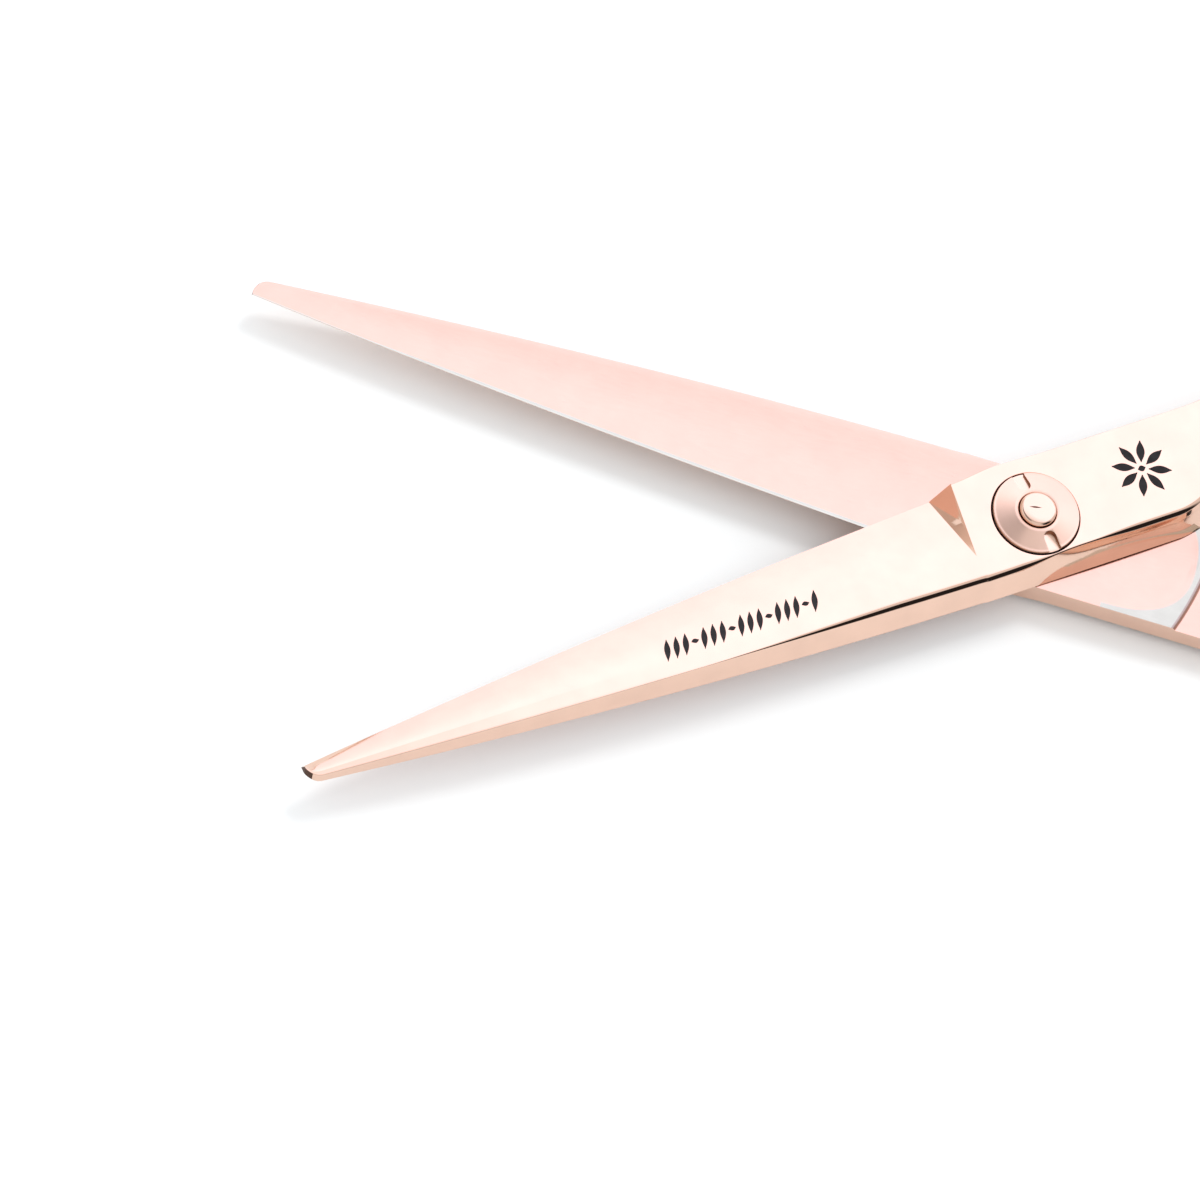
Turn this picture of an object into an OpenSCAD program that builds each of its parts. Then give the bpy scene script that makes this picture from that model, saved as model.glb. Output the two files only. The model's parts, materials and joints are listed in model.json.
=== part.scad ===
// Hair cutting shears with offset handles, right-handed, in millimetres.
// Each half is drawn in its own half frame: blade towards -X, cutting edge and finger hole on the +Y side,
// outer face towards +Z and inner face just above z = 0. place_finger_half() and place_thumb_half() put it in
// the part's frame, where +Z is up, the blades point towards -X and the pivot's axis is the Z axis.

/* [Opening] */
// Angle between the two cutting tips as drawn, in degrees
open_angle = 37.3; // [0:0.1:60]

/* [Blade] */
// Distance from the tip to the pivot
tip_len = 73.5; // [60:0.5:90]
// Width of the cut-off tip
tip_w = 1.8; // [1.4:0.1:2.4]
// Height of the cutting edge above the pivot line at the heel
heel_rise = 5.25; // [4.5:0.05:5.4]
// Depth of the spine below the pivot line at the pivot
spine_drop = 5.7; // [5.4:0.1:6.2]
// Thickness of the blade at the pivot
blade_t = 2.8; // [2.7:0.1:3.2]
// Thickness of the blade at the tip
tip_t = 0.9; // [0.7:0.1:1.2]
// Depth of the hollow ground into the inner face
hollow_depth = 0.25; // [0.1:0.05:0.3]
// Width of the flat ride line along the cutting edge
ride_w = 0.35; // [0.25:0.05:0.6]
// Fullness of the convex grind, 1 for a flat bevel
grind_power = 1.6; // [1.2:0.1:2.2]

/* [Handles] */
// Distance from the pivot to the centre of the finger hole
finger_ring_x = 64.3; // [60:0.1:70]
// Distance from the pivot to the centre of the thumb hole
thumb_ring_x = 52; // [48:0.5:56]
// Offset of both holes from the pivot line
ring_y = 17.3; // [17:0.1:18]
// Radius of the seat in each ring that holds its insert
ring_seat_r = 11.2; // [10.5:0.1:11.4]
// Thickness of the ring's wall, measured along the radius
ring_wall = 3.4; // [3:0.1:4]
// Half of the ring's thickness along the pivot's axis
ring_half_h = 3.2; // [2.8:0.1:3.3]
// Radius of the hole that the finger or thumb goes through
insert_bore_r = 10.2; // [9.6:0.1:10.4]

/* [Pivot] */
// Radius of the tension nut
nut_r = 4.02; // [3.8:0.01:4.3]
// Radius of the threaded end of the pivot stud
thread_r = 1.7; // [1.6:0.05:1.8]
// Radius of the plain journal that the bush turns on
journal_r = 2.0; // [1.95:0.05:2.2]
// Radius of the stud's head
head_r = 4.0; // [3.8:0.1:4.2]

/* [Finger rest] */
// Direction in which the finger rest leaves its ring, in degrees from the half frame's +X
rest_angle = -12; // [-25:1:5]
// Radius of the arc that the finger rest follows
rest_bend_r = 15; // [13:0.5:18]
// Angle of that arc, in degrees
rest_sweep = 80; // [60:1:90]

/* [Hidden] */
$fn = 64;

insert_half_h = 3.5;
shear_z = insert_half_h;
inner_gap = 0.03;
fine_gap = 0.05;
eps = 0.5;

// Stations along the half frame's X
heel_x = -7.9;
weld_x = 24;
relief_start = 16.2;
neck_start = 13;
neck_end = 28;
oval_start = 25;
oval_end = 37;

// Outline of the shank
back_y = 5.7;
shank_lo = 1.0;
side_chamfer_y = 0.3;
side_chamfer_z = 0.6;
facet_z = 1.6;
relief_depth = 0.3;

// Pivot stack, with heights measured from the shear plane
outer_z = inner_gap + blade_t;
spot_z = 0.33;
spot_r = 4.5;
bush_r = 3.0;
cup_floor = 1.73;
cup_r = 3.5;
seat_floor = 2.58;
seat_gap = 0.12;
washer_r = 3.35;
washer_bore_r = 1.9;
spring_h = 0.5;
spring_t = 0.25;
friction_t = 0.3;
nut_under = 2.7;
nut_rim_top = 3.12;
nut_crown = 3.55;
stud_top = 4.0;
head_sink = 0.6;
flats_r = 2.5;
flats_half = 2.1;
slot_w = 1.2;
slot_in = 2.2;
slot_floor = 2.85;

// Finger rest, measured from the ring's centre along the stud
boss_r = 2.6;
boss_end = 15.0;
rest_base = 15.5;
rest_start = 18.5;
stud_lo = 12.2;
stud_hi = 19.4;
stud_r = 1.25;

// Bumper
bumper_x = 37;
bumper_r = 2.2;
bumper_gap = 0.5;
stem_r = 1.1;
stem_in = 2.4;

rose_gold = [0.93, 0.74, 0.66];
steel = [0.86, 0.86, 0.87];
rubber = [0.16, 0.15, 0.15];
polymer = [0.93, 0.92, 0.88];
bronze = [0.72, 0.55, 0.33];

function mix(a, b, w) = a + (b - a) * w;
function clamp01(v) = max(0, min(1, v));
function smooth(a, b, x) = let (s = clamp01((x - a) / (b - a))) s * s * (3 - 2 * s);

// Outline and thickness of the ground blade at station x
function along(x, end) = clamp01((x + tip_len) / (end + tip_len));
function edge_y(x) = let (u = along(x, heel_x)) heel_rise * (1.36 * u - 0.36 * u * u);
function tip_round(x) = let (d = x + tip_len) d > 1.2 ? 1 : sqrt(1 - pow(1 - (d + 0.1) / 1.3, 2));
function spine_y(x) = -(tip_w - 0.1 + (spine_drop - tip_w + 0.1) * (1 - pow(1 - along(x, 0), 1.8)))
    * tip_round(x);
function blade_thick(x) = let (u = along(x, -16)) mix(tip_t, blade_t, 1 - pow(1 - u, 2.1));
function bevel_w(x) = mix(0.13, 1.13, pow(along(x, -16), 1.15));

// Outline of the shank behind the heel
function lo_y(x) = mix(-spine_drop, shank_lo, smooth(neck_start, neck_end, x)) + 0.5 * smooth(30, 44, x);
function hi_y(x) = back_y + 1.8 * smooth(18, 34, x);
function shank_bevel(x) = mix(1.1, 1.5, smooth(-5, 3, x));
function relief(x) = relief_depth * smooth(relief_start, relief_start + 0.8, x);
function hollow_at(x) = hollow_depth * smooth(-tip_len + 1, -tip_len + 14, x) * (1 - smooth(11, 16, x));

// Stations of the shank, and fractions and angles of the points round each section
SHANK_X = [-4, -1.5, 2, 6, 10, 12, 13.5, 15, 16.2, 17, 18.5, 20, 21.5, 23, weld_x];
ARC_F = [0.97, 0.88, 0.74, 0.56, 0.34, 0.0];
FLAT_F = [0.35, 0.7, 1.0];
TOP_F = [for (i = [0:8]) i / 8];
FLOOR_F = [0, 0.17, 0.34, 0.5, 0.66, 0.83, 1];
OVAL_A = concat([0], [for (i = [0:8]) 35 + 13.75 * i], [180], [for (i = [0:8]) 215 + 13.75 * i]);

// Inner face from the spine to the edge, with its hollow between two ride lines
function lifted(section) = [for (p = section) p + [0, 0, inner_gap]];
function inner_row(x, ys, ye, z0) =
    let (ride = min(ride_w, (ye - ys) / 5), a = ys + ride, b = ye - ride)
    concat(
        [[x, ys, z0]],
        [for (f = FLOOR_F) [x, mix(a, b, f), z0 + hollow_at(x) * sin(180 * f)]],
        [[x, ye, z0]]);

// Section of the ground blade
function grind_section(x) =
    let (ye = edge_y(x), ys = spine_y(x), t = blade_thick(x), land = 0.06,
        w = ye - ys, ridge = ys + min(bevel_w(x), 0.45 * w), y0 = mix(ridge, ye, 0.24))
    lifted(concat(
        [[x, ye, land]],
        [for (f = ARC_F) [x, mix(y0, ye, f), mix(land, t, 1 - pow(f, grind_power))]],
        [for (f = FLAT_F) [x, mix(y0, ridge, f), t]],
        [[x, mix(ys, ridge, 0.57), t * 0.57]],
        inner_row(x, ys, ye, 0)));

// Section of the flat shank, with a slanted start along the wall of the heel's notch
function shank_section(x, notch = 0) =
    let (ys = lo_y(x), ye = hi_y(x), ridge = ys + shank_bevel(x), top_y = ye - side_chamfer_y,
        foot = mix(ys, ridge, 0.45), back = notch * 0.14)
    lifted(concat(
        [[x - back * 1.5, ye, blade_t - side_chamfer_z]],
        [for (f = TOP_F) let (y = mix(top_y, ridge, f)) [x - back * (top_y - y), y, blade_t]],
        [[x - back * 10, foot, facet_z]],
        inner_row(x - back * 10, ys, ye, relief(x))));

// Section of the handle's oval shank
function oval_section(x, cy, a, b) =
    [for (t = OVAL_A) let (c = cos(t), s = sin(t))
        [x, cy + a * sign(c) * pow(abs(c), 0.8), b * sign(s) * pow(abs(s), 0.8)]];

function blend_section(p, q, w) = [for (i = [0:len(p) - 1]) mix(p[i], q[i], w)];

// Section of the shank from the weld to the middle of a ring at ring_x, where it ends inside the ring's wall
function taper(x, ring_x) = smooth(ring_x - 20, ring_x - 4, x);
function shank_half_w(x, ring_x) = mix((hi_y(x) - lo_y(x)) / 2, 1.2, taper(x, ring_x));
function shank_middle(x, ring_x) =
    mix((lo_y(x) + hi_y(x)) / 2, ring_y - ring_seat_r - ring_wall / 2, taper(x, ring_x));
function handle_section(x, ring_x) =
    let (oval = oval_section(x, shank_middle(x, ring_x), shank_half_w(x, ring_x),
        mix(2.9, 2.6, taper(x, ring_x))))
    blend_section(shank_section(x), oval, smooth(oval_start, oval_end, x));

// Middle of a ring of points
function middle(r) = [for (k = [0:2]) let (v = [for (p = r) p[k]]) (min(v) + max(v)) / 2];

// Closed skin over a list of rings, each with its points anticlockwise seen from the last ring
module skin(rings) {
    n = len(rings[0]);
    m = len(rings);
    points = concat([for (r = rings) for (p = r) p], [middle(rings[0]), middle(rings[m - 1])]);
    caps = [for (j = [0:n - 1]) let (k = (j + 1) % n, last = (m - 1) * n)
        each [[m * n, j, k], [m * n + 1, last + k, last + j]]];
    sides = [for (i = [0:m - 2]) for (j = [0:n - 1]) let (k = (j + 1) % n)
        each [[i * n + j, (i + 1) * n + j, (i + 1) * n + k], [i * n + j, (i + 1) * n + k, i * n + k]]];
    polyhedron(points, concat(caps, sides));
}

module place_finger_half() {
    translate([0, 0, shear_z])
        rotate([0, 0, open_angle / 2])
            children();
}

module place_thumb_half() {
    translate([0, 0, shear_z])
        rotate([0, 0, -open_angle / 2])
            rotate([180, 0, 0])
                children();
}

// One forged blade with its shank, solid
module blade_blank() {
    ground = concat(
        [for (d = [0, 0.25, 0.6, 1.1]) grind_section(d - tip_len)],
        [for (x = [-71:3:-11]) grind_section(x)],
        [grind_section(heel_x)]);
    shank = concat(
        [shank_section(-6.3, 1)],
        [for (x = SHANK_X) shank_section(x)]);
    skin(concat(ground, shank));
}

// Counterbore from the inner face for the washer between the blades
module washer_spotface() {
    translate([0, 0, -eps])
        cylinder(r = spot_r, h = eps + spot_z);
}

module upper_blade() {
    color(rose_gold)
        place_finger_half()
            difference() {
                blade_blank();
                washer_spotface();
                cylinder(r = bush_r, h = cup_floor + eps);
                translate([0, 0, cup_floor])
                    cylinder(r = cup_r, h = blade_t);
                translate([0, 0, seat_floor])
                    cylinder(r = nut_r + seat_gap, h = blade_t);
            }
}

// Round bar with two flats, which keeps the stud from turning in its blade
module flatted_bar(r, half, h) {
    linear_extrude(height = h)
        intersection() {
            circle(r = r);
            square([4 * r, 2 * half], center = true);
        }
}

module lower_blade() {
    color(rose_gold)
        place_thumb_half()
            difference() {
                blade_blank();
                washer_spotface();
                flatted_bar(flats_r + fine_gap, flats_half + fine_gap, outer_z);
                translate([0, 0, outer_z - head_sink])
                    cylinder(r = head_r + fine_gap, h = blade_t);
            }
}

// Wall of a finger ring: flat inside, rounded outside
module ring_wall_section() {
    corner = ring_wall / 2;
    translate([ring_seat_r, -ring_half_h])
        square([ring_wall - corner, 2 * ring_half_h]);
    translate([ring_seat_r, -ring_half_h + corner])
        square([ring_wall, 2 * (ring_half_h - corner)]);
    for (side = [-1, 1])
        translate([ring_seat_r + ring_wall - corner, side * (ring_half_h - corner)])
            circle(r = corner);
}

// Handle from the weld to its ring, in the half frame
module handle_body(ring_x) {
    stations = concat([for (x = [weld_x:1.5:36]) x], [for (i = [1:9]) mix(36, ring_x - 3, i / 9)]);
    difference() {
        skin([for (x = stations) handle_section(x, ring_x)]);
        translate([ring_x, ring_y, -2 * insert_half_h])
            cylinder(r = ring_seat_r, h = 4 * insert_half_h);
    }
    translate([ring_x, ring_y, 0])
        rotate_extrude()
            ring_wall_section();
}

// Turns its children so that their +Z runs along the finger rest's stud, away from the ring's centre
module along_rest() {
    translate([finger_ring_x, ring_y, 0])
        rotate([0, 0, rest_angle])
            rotate([0, 90, 0])
                children();
}

module finger_handle() {
    color(rose_gold)
        place_finger_half()
            difference() {
                union() {
                    handle_body(finger_ring_x);
                    along_rest()
                        translate([0, 0, ring_seat_r + 1])
                            cylinder(r = boss_r, h = boss_end - ring_seat_r - 1);
                }
                along_rest()
                    translate([0, 0, stud_lo - 0.2])
                        cylinder(r = stud_r + fine_gap, h = 2 * boss_end);
            }
}

// The bumper's seat on the slanting inner side of the thumb shank, and its reach towards the finger shank
function inner_side(x) = shank_middle(x, thumb_ring_x) - shank_half_w(x, thumb_ring_x);
bumper_seat = inner_side(bumper_x) - 0.1;
bumper_slant = atan((inner_side(bumper_x + 1) - inner_side(bumper_x - 1)) / 2);
bumper_reach = bumper_seat + lo_y(bumper_x) - bumper_gap;

// Turns its children so that their +Z runs squarely from that seat towards the finger half
module along_bumper() {
    translate([bumper_x, bumper_seat, 0])
        rotate([0, 0, bumper_slant])
            rotate([90, 0, 0])
                children();
}

module thumb_handle() {
    color(rose_gold)
        place_thumb_half()
            difference() {
                handle_body(thumb_ring_x);
                along_bumper()
                    translate([0, 0, -stem_in - 0.1])
                        cylinder(r = stem_r, h = stem_in + bumper_reach);
            }
}

// Soft sleeve with a lip over each face of its ring
module insert_sleeve(ring_x) {
    lip_r = 12.3;
    flare = 1.0;
    translate([ring_x, ring_y, 0])
        rotate_extrude()
            difference() {
                union() {
                    translate([insert_bore_r, -insert_half_h])
                        square([ring_seat_r - insert_bore_r, 2 * insert_half_h]);
                    for (side = [-1, 1])
                        translate([insert_bore_r, side > 0 ? ring_half_h : -insert_half_h])
                            square([lip_r - insert_bore_r, insert_half_h - ring_half_h]);
                }
                for (side = [-1, 1])
                    translate([insert_bore_r, side * insert_half_h])
                        circle(r = flare * 0.8);
            }
}

module finger_insert() {
    color(rubber)
        place_finger_half()
            insert_sleeve(finger_ring_x);
}

module thumb_insert() {
    color(rubber)
        place_thumb_half()
            insert_sleeve(thumb_ring_x);
}

// Ring between two radii and two heights
module collar(r_in, r_out, z_lo, z_hi) {
    translate([0, 0, z_lo])
        difference() {
            cylinder(r = r_out, h = z_hi - z_lo);
            translate([0, 0, -eps])
                cylinder(r = r_in, h = z_hi - z_lo + 2 * eps);
        }
}

module pivot_bush() {
    color(bronze)
        place_finger_half()
            collar(journal_r + inner_gap, bush_r, spot_z, cup_floor);
}

module blade_washer() {
    color(polymer)
        translate([0, 0, shear_z])
            collar(journal_r + fine_gap, spot_r - 0.1, -spot_z, spot_z - inner_gap);
}

// Heights from here on are in the part's frame
module spring_washer() {
    color(steel)
        translate([0, 0, shear_z + cup_floor])
            rotate_extrude()
                polygon([
                    [washer_bore_r, spring_h - spring_t],
                    [washer_r, 0],
                    [washer_r, spring_t],
                    [washer_bore_r, spring_h]]);
}

module friction_washer() {
    z_lo = shear_z + cup_floor + spring_h;
    color(polymer)
        collar(washer_bore_r, washer_r, z_lo, z_lo + friction_t);
}

module tension_nut() {
    hub_z = shear_z + cup_floor + spring_h + friction_t;
    crown_r = 2.1;
    rim_flat = 0.25;
    bore_r = thread_r + fine_gap;
    slot_angle = open_angle / 2 + 90;
    color(rose_gold)
        difference() {
            rotate_extrude()
                polygon([
                    [bore_r, hub_z],
                    [washer_r, hub_z],
                    [washer_r, shear_z + nut_under],
                    [nut_r, shear_z + nut_under],
                    [nut_r, shear_z + nut_rim_top],
                    [nut_r - rim_flat, shear_z + nut_rim_top],
                    [crown_r, shear_z + nut_crown],
                    [bore_r, shear_z + nut_crown]]);
            for (side = [0, 180])
                rotate([0, 0, slot_angle + side])
                    translate([slot_in, 0, shear_z + slot_floor])
                        linear_extrude(height = 2)
                            union() {
                                translate([slot_w / 2, 0])
                                    circle(r = slot_w / 2);
                                translate([slot_w / 2, -slot_w / 2])
                                    square([nut_r, slot_w]);
                            }
        }
}

module pivot_stud() {
    head_h = shear_z - outer_z + head_sink;
    seat_z = shear_z - spot_z;
    thread_z = shear_z + cup_floor;
    chamfer = 0.2;
    color(steel) {
        cylinder(r = head_r, h = head_h);
        translate([0, 0, head_h])
            rotate([0, 0, -open_angle / 2])
                flatted_bar(flats_r, flats_half, seat_z - head_h);
        translate([0, 0, seat_z])
            cylinder(r = journal_r, h = thread_z - seat_z);
        translate([0, 0, thread_z])
            cylinder(r = thread_r, h = shear_z + stud_top - chamfer - thread_z);
        translate([0, 0, shear_z + stud_top - chamfer])
            cylinder(r1 = thread_r, r2 = thread_r - chamfer, h = chamfer);
    }
}

module bumper() {
    bead = 0.9;
    color(rubber)
        place_thumb_half()
            along_bumper() {
                translate([0, 0, -stem_in])
                    cylinder(r = stem_r, h = stem_in + bead);
                cylinder(r = bumper_r, h = bumper_reach - bead);
                translate([0, 0, bumper_reach - bead])
                    cylinder(r1 = bumper_r, r2 = bumper_r - bead, h = bead);
            }
}

// Ring of the finger rest's horn: angle a along its arc, radius r
function horn_ring(a, r, flat = 1) =
    let (n = 16, lift = rest_start + rest_bend_r * sin(a), out = rest_bend_r * (1 - cos(a)))
    [for (i = [0:n - 1]) let (t = 360 * i / n, c = r * cos(t), s = r * flat * sin(t))
        [s, out + c * cos(a), lift - c * sin(a)]];
function horn_r(f) = 2.5 - 1.0 * smooth(0, 0.55, f) + 0.9 * smooth(0.6, 0.92, f);
function base_ring(z, r) = [for (i = [0:15]) let (t = 360 * i / 16) [r * sin(t), r * cos(t), z]];

module finger_rest() {
    turns = [for (i = [0:18]) i / 18];
    tail = [for (i = [1:4]) i * 22];
    color(rose_gold)
        place_finger_half()
            along_rest()
                difference() {
                    skin(concat(
                        [for (b = [[0, 2.4], [0.3, 2.6], [1.8, 2.6]]) base_ring(rest_base + b[0], b[1])],
                        [for (f = turns) horn_ring(rest_sweep * f, horn_r(f), mix(1, 0.8, f))],
                        [for (t = tail) horn_ring(rest_sweep + 7 * sin(t), horn_r(1) * cos(t), 0.8)]));
                    cylinder(r = stud_r, h = stud_hi);
                }
}

module finger_rest_stud() {
    color(steel)
        place_finger_half()
            along_rest()
                translate([0, 0, stud_lo])
                    cylinder(r = stud_r, h = stud_hi - stud_lo);
}

module finger_rest_washer() {
    color(polymer)
        place_finger_half()
            along_rest()
                collar(stud_r + fine_gap, 2.5, boss_end, rest_base);
}

upper_blade();
finger_handle();
finger_insert();
pivot_bush();
lower_blade();
thumb_handle();
thumb_insert();
pivot_stud();
blade_washer();
spring_washer();
friction_washer();
tension_nut();
bumper();
finger_rest();
finger_rest_stud();
finger_rest_washer();
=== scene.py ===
import json
import math

import bmesh
import bpy
import numpy as np
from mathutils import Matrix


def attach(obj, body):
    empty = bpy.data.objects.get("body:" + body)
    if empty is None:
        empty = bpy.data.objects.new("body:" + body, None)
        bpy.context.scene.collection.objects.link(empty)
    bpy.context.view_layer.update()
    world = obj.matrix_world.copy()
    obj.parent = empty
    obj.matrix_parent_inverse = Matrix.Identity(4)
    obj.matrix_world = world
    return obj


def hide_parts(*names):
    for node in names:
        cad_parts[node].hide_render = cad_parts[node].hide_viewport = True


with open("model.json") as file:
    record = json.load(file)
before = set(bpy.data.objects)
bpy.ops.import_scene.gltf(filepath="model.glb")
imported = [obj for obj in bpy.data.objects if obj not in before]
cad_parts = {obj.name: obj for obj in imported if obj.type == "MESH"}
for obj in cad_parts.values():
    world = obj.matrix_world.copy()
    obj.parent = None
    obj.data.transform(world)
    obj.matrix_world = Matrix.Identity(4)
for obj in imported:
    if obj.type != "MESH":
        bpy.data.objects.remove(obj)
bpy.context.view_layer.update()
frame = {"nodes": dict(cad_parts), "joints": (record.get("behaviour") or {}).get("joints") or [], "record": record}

import openvdb
from mathutils import Matrix, Vector

# Hair cutting shears. Shapes are worked out in millimetres in each half's own frame: blade towards -X,
# cutting edge and finger hole on the +Y side, inner face just above z = 0. half_matrix() puts a half in
# the model's frame, in metres.

MM = 0.001


def joint(name):
    """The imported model's joint of that name."""
    return next(j for j in frame["joints"] if j["name"] == name)


def mount(name):
    """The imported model's mount of that name."""
    return next(m for m in frame["record"]["mounts"] if m["name"] == name)


# Driving dimensions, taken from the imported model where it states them
OPEN_ANGLE = joint("blade_pivot")["range_deg"][1]
SHEAR_Z = joint("blade_pivot")["pos_m"][2] / MM
BORE_R = mount("finger_hole")["dims"]["r_mm"]

# Blade: LAND is the edge's own thickness, GAP the distance of the inner face from the shear plane, and
# HOLLOW_PART the depth of the hollow as a part of its width
TIP_LEN = 73.5
TIP_W = 1.8
TIP_T = 0.9
HEEL_X = -7.9
HEEL_RISE = 5.25
SPINE_DROP = 5.7
BLADE_T = 2.8
LAND = 0.06
GRIND_POWER = 1.25
GAP = 0.03
HOLLOW_PART = 0.014
RIDE_W = 0.35

# Shank: its lower side falls BEVEL_RUN outwards, with a crease at FACET_Z that lies FACET_RUN out, and the
# inner face steps back by RELIEF at the shoulder
WELD_X = 24.0
BACK_Y = 5.7
SHANK_LO = 1.0
BEVEL_RUN = 1.5
FACET_RUN = 0.584
FACET_Z = 1.9
RELIEF = 0.3
RELIEF_X = 16.6
OUTER_Z = GAP + BLADE_T

# The shoulder's line across the inner face: x + SHOULDER_SLANT * y + SHOULDER_BOW * y * y stays the same
SHOULDER_SLANT = 0.2
SHOULDER_BOW = 0.016

# Rounded end of the coated hollow: a superellipse about (MOON_X, MOON_Y)
MOON_X = 8.0
MOON_Y = -1.2
MOON_LEN = 7.95
MOON_HALF = 6.4
MOON_POWER = 2.5

# Handles: the flat shank melts into an oval one from OVAL_START to OVAL_END, and that narrows into the ring
# over the stretch from JOIN_START to JOIN_END before the ring's middle
OVAL_START = 25.0
OVAL_END = 37.0
JOIN_START = 20.0
JOIN_END = 4.0
OVAL_POWER = 2.5
FIELD_STEP = 0.22
RING_CORNER = 1.7

# Rings
FINGER_RING_X = 64.3
THUMB_RING_X = 52.0
FINGER_RING_Y = 17.3
RING_SEAT_R = 11.2
RING_WALL = 3.4
RING_HALF_H = 3.2

# Pivot
BUSH_R = 3.0
CUP_R = 3.5
CUP_FLOOR = 1.73
SEAT_R = 4.17
SPOT_R = 4.5
SPOT_Z = 0.33
NUT_R = 4.02
THREAD_R = 1.7
HEAD_R = 4.0
HEAD_SINK = 0.6
STUD_TOP = 4.0
JOURNAL_R = 2.0
FLATS_R = 2.5
FLATS_HALF = 2.1
NUT_HUB = 2.53
NUT_UNDER = 2.7
NUT_RIM = 3.12
NUT_CROWN = 3.55
WASHER_R = 3.35
SPRING_H = 0.5
SPRING_PRESS = 0.09
SLOT_W = 1.2
SLOT_IN = 2.2
SLOT_FLOOR = 2.85

# Finger rest, along its stud from the middle of the finger ring
REST_ANGLE = -12.0
BOSS_R = 2.6
BOSS_END = 15.0
REST_BASE = 15.5
REST_START = 18.5
REST_BEND = 15.0
REST_SWEEP = 80.0
STUD_LO = 12.2
STUD_HI = 19.4
STUD_R = 1.25

# Bumper on the thumb shank
BUMPER_X = 37.0
BUMPER_R = 2.2
BUMPER_GAP = 0.5
STEM_R = 1.1
STEM_IN = 2.4


# ---------------------------------------------------------------- small maths

def mix(a, b, w):
    """a where w is 0, b where it is 1."""
    return a + (b - a) * w


def clamp01(v):
    return min(1.0, max(0.0, v))


def smooth(a, b, x):
    """0 before a, 1 after b, an S-curve between them."""
    s = np.clip((x - a) / (b - a), 0.0, 1.0)
    return s * s * (3 - 2 * s)


def along(x, end):
    """Part of the way from the tip to end."""
    return clamp01((x + TIP_LEN) / (end + TIP_LEN))


# ---------------------------------------------------------------- outline of a half

def edge_y(x):
    """Cutting edge: a gentle bow from the tip up to the heel."""
    u = along(x, HEEL_X)
    return HEEL_RISE * (1.36 * u - 0.36 * u * u)


def tip_round(x):
    """Rounds the spine's corner at the tip."""
    d = x + TIP_LEN
    return 1.0 if d > 1.2 else math.sqrt(1 - (1 - (d + 0.1) / 1.3) ** 2)


def spine_y(x):
    """Spine: a belly from the tip down to its full depth at the pivot."""
    belly = 1 - (1 - along(x, 0)) ** 1.8
    return -(TIP_W - 0.1 + (SPINE_DROP - TIP_W + 0.1) * belly) * tip_round(x)


def blade_thick(x):
    return mix(TIP_T, BLADE_T, 1 - (1 - along(x, -16)) ** 2.1)


def bevel_w(x):
    return mix(0.13, 1.13, along(x, -16) ** 1.15)


def lo_y(x):
    """Lower side of the shank, which rises to the neck behind the shoulder."""
    return mix(-SPINE_DROP, SHANK_LO, smooth(13, 28, x)) + 0.5 * smooth(30, 44, x)


def hi_y(x):
    """Upper side of the shank."""
    return BACK_Y + 1.8 * smooth(18, 34, x)


def wall_y(x):
    """Side wall of the shank, a little lower just behind the heel."""
    return hi_y(x) - 0.4 * (1 - smooth(-6.4, -1.5, x))


def shank_bevel(x):
    return mix(1.13, BEVEL_RUN, smooth(-5, 3, x))


def ridge_radius(x):
    """Rounding of the ridge between flat and spine bevel: broad from mid blade on, slight at the nut."""
    wide = mix(0.03, 0.8, smooth(-36, -14, x))
    return wide * (1 - 0.75 * smooth(-4, 0.5, x) * (1 - smooth(3.5, 9, x)))


def hollow_at(x, width):
    return HOLLOW_PART * width * smooth(-TIP_LEN + 1, -TIP_LEN + 14, x)


def half_moon(x, y):
    """1 inside the coated hollow, falling to 0 along its rounded end near the pivot."""
    if x < MOON_X:
        return 1.0
    q = (abs(x - MOON_X) / MOON_LEN) ** MOON_POWER + (abs(y - MOON_Y) / MOON_HALF) ** MOON_POWER
    return 1 - smooth(0.8, 1.0, q)


# ---------------------------------------------------------------- sections of a half

# Every section has the same points: the grind at the parts ARC_F of its width, the flat, the ridge's arc, the
# spine's side and the inner face. NOTCH_A to NOTCH_D are the corners of the notch behind the heel.
ARC_F = [1.0, 0.985, 0.95, 0.9, 0.84, 0.77, 0.69, 0.6, 0.507, 0.41, 0.31, 0.2, 0.1, 0.0]
FLAT_N = 6
RIDGE_N = 10
HOLLOW_N = 16
ARC_N = len(ARC_F)
CREASE_COL = ARC_N + FLAT_N + RIDGE_N + 1
NOTCH_A = Vector((-7.75, 5.3, LAND))
NOTCH_B = Vector((-6.26, 5.31, BLADE_T))
NOTCH_C = Vector((-7.17, -2.1, BLADE_T))
NOTCH_D = Vector((-6.9, 1.6, 2.6))
NOTCH_LEAN = (0.295, 0.585)


def ridge_arc(ridge, t, run, rise, radius):
    """Arc that rounds the ridge between the flat top and a bevel falling rise over run towards -Y."""
    turn = math.atan2(rise, run)
    back = radius * math.tan(turn / 2)
    cy, cz = ridge + back, t - radius
    steps = [turn * i / (RIDGE_N - 1) for i in range(RIDGE_N)]
    return back, [(cy - radius * math.sin(a), cz + radius * math.cos(a)) for a in steps]


def inner_points(x, ys, ye, z0, ride):
    """Inner face from the spine to the edge: a hollow between two flat margins."""
    a, b = ys + min(RIDE_W, (ye - ys) / 5), ye - ride
    pts = [(ys + 0.07, z0), (a, z0)]
    for i in range(1, HOLLOW_N):
        f = i / HOLLOW_N
        y = mix(a, b, f)
        pts.append((y, z0 + hollow_at(x, b - a) * math.sin(math.pi * f) * half_moon(x, y)))
    return pts + [(b, z0), (ye, z0)]


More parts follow.
